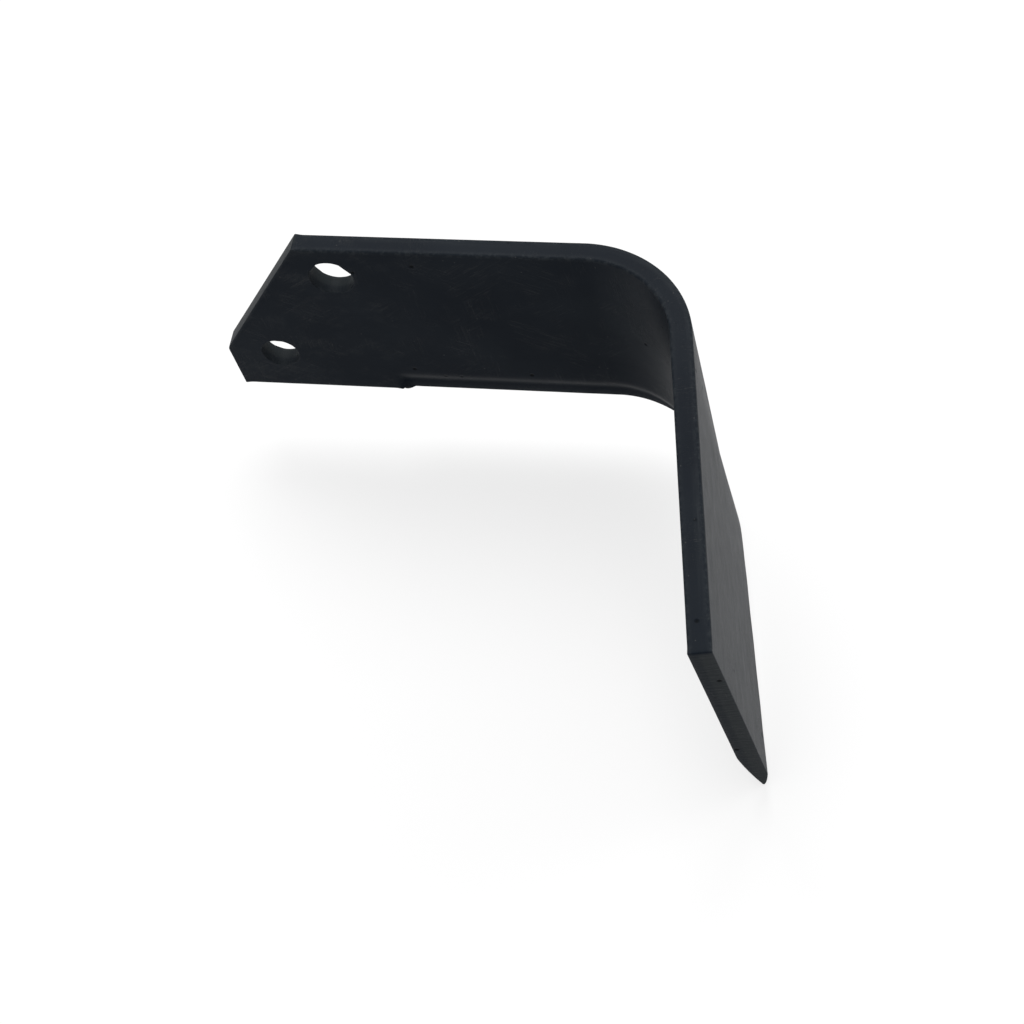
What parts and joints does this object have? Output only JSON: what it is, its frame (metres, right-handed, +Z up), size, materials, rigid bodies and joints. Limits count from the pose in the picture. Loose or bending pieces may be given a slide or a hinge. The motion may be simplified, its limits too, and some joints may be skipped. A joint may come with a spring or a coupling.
{
  "type": "rotary tiller blade",
  "caption": "L-shaped forged steel tiller blade: a flat bolted shank, a wide bend and a leg with a bevelled cutting edge along its lower side.",
  "frame": {"origin": "centre of the larger bolt hole, in the flat back face of the shank that seats on the rotor flange", "axes": "+X along the shank from the bolted end to the bend, +Y out of the seating face, +Z up across the bar to its blunt top edge; the leg turns away to -Y"},
  "size_m": [0.2151, 0.1561, 0.1117],
  "materials": {
    "blade": "thin bluish-black paint over the forged skin, satin, worn at edges"
  },
  "bodies": {
    "root": {"blade": "blade"}
  },
  "joints": []
}
